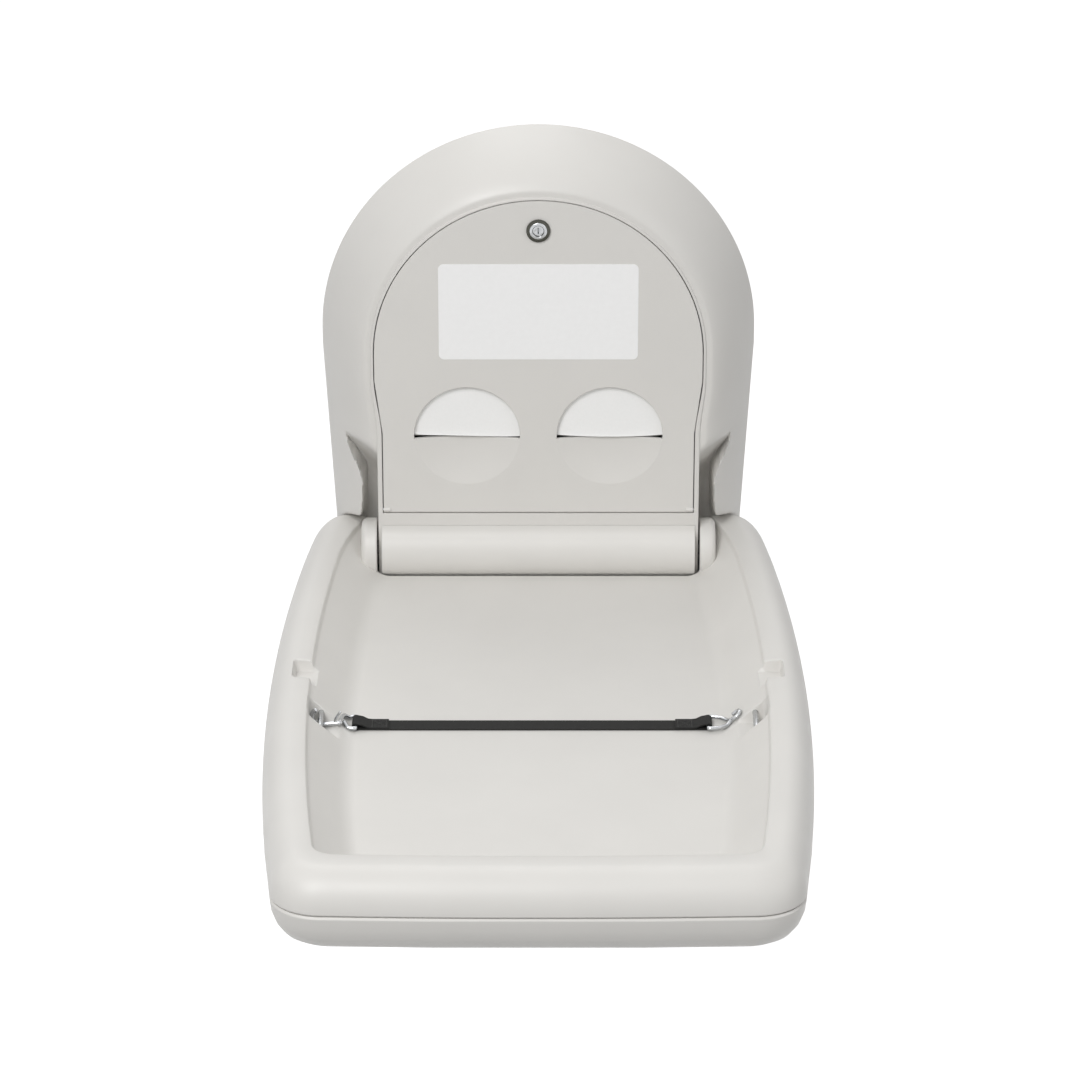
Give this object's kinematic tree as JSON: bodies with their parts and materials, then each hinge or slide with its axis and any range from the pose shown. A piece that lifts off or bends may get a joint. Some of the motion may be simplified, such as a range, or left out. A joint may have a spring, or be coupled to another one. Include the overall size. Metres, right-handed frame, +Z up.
{
  "type": "baby changing station",
  "caption": "Wall-hung baby changing station: arched chassis with a locked liner dispenser door and a basin-shaped bed with a safety strap, hinged at its foot to fold up flat.",
  "frame": {"origin": "on the wall face, in the middle, level with the bed's hinge", "axes": "+X to the user's right, +Y into the wall, +Z up"},
  "size_m": [0.5648, 0.846, 0.5845],
  "materials": {
    "moulded_shell": "fine moulded texture",
    "inner_moulding": "satin",
    "bright_steel": "polished",
    "zinc_steel": "zinc plated",
    "bush_bronze": "satin",
    "cylinder_black": "satin",
    "rubber": "matt",
    "paper": "plain paper",
    "webbing": "woven"
  },
  "bodies": {
    "chassis": {"wall_plate": "zinc_steel", "chassis_shell": "moulded_shell", "side_cheek_left": "moulded_shell", "side_cheek_right": "moulded_shell", "hinge_cover": "moulded_shell", "strike_plate": "zinc_steel", "liner_tray": "inner_moulding", "tray_screw_upper": "bright_steel", "tray_screw_lower": "bright_steel", "gas_bracket": "zinc_steel", "gas_tube": "cylinder_black", "gas_nut": "zinc_steel", "hinge_bracket_left": "zinc_steel", "hinge_bracket_right": "zinc_steel", "hinge_bush_left": "bush_bronze", "hinge_bush_right": "bush_bronze", "bumper_left": "rubber", "bumper_right": "rubber", "liner_stack_left": "paper", "liner_stack_right": "paper", "shell_screw_upper_left": "bright_steel", "shell_screw_upper_right": "bright_steel", "shell_screw_lower_left": "bright_steel", "shell_screw_lower_right": "bright_steel"},
    "rod": {"gas_rod": "bright_steel", "rod_yoke": "zinc_steel"},
    "door": {"door_panel": "moulded_shell", "door_pin_left": "bright_steel", "door_pin_right": "bright_steel", "lock_body": "bright_steel", "lock_nut": "zinc_steel"},
    "lock": {"lock_plug": "bright_steel", "lock_cam": "zinc_steel", "cam_screw": "bright_steel"},
    "bed": {"bed_tray": "moulded_shell", "bed_base": "moulded_shell", "hinge_ear_left": "moulded_shell", "hinge_ear_right": "moulded_shell", "base_screw_rear_left": "bright_steel", "base_screw_rear_right": "bright_steel", "base_screw_middle_left": "bright_steel", "base_screw_middle_right": "bright_steel", "base_screw_front_left": "bright_steel", "base_screw_front_right": "bright_steel", "hinge_shaft": "bright_steel", "hinge_arm_left": "zinc_steel", "hinge_arm_right": "zinc_steel", "cross_rail": "zinc_steel", "crank_arm": "zinc_steel", "anchor_bar_left": "bright_steel", "anchor_bar_right": "bright_steel"},
    "strap": {"strap": "webbing", "strap_hook_left": "bright_steel"},
    "hook": {"strap_hook_right": "bright_steel"}
  },
  "joints": [
    {"name": "bed_fold", "type": "hinge", "parent": "chassis", "child": "bed", "pos_m": [0, -0.06, 0], "axis": [-1, 0, 0], "range_deg": [0, 90]},
    {"name": "rod_slide", "type": "slide", "parent": "chassis", "child": "rod", "axis": [0, 0, 1], "range_m": [-0.041, 0.001]},
    {"name": "door_swing", "type": "hinge", "parent": "chassis", "child": "door", "pos_m": [0, -0.0751, 0.0536], "axis": [-1, 0, 0], "range_deg": [-78, 0]},
    {"name": "lock_turn", "type": "hinge", "parent": "door", "child": "lock", "pos_m": [0, -0.07, 0.385], "axis": [0, -1, 0], "range_deg": [0, 90]},
    {"name": "strap_lift", "type": "hinge", "parent": "bed", "child": "strap", "pos_m": [-0.2249, -0.457, -0.003], "axis": [0, 1, 0], "range_deg": [-60, 0]},
    {"name": "hook_turn", "type": "hinge", "parent": "strap", "child": "hook", "pos_m": [0.1765, -0.441, -0.0186], "axis": [0, 1, 0], "range_deg": [-90, 0]}
  ],
  "couplings": [
    {"joint": "rod_slide", "follows": "bed_fold", "m_per_rad": -0.0252}
  ]
}
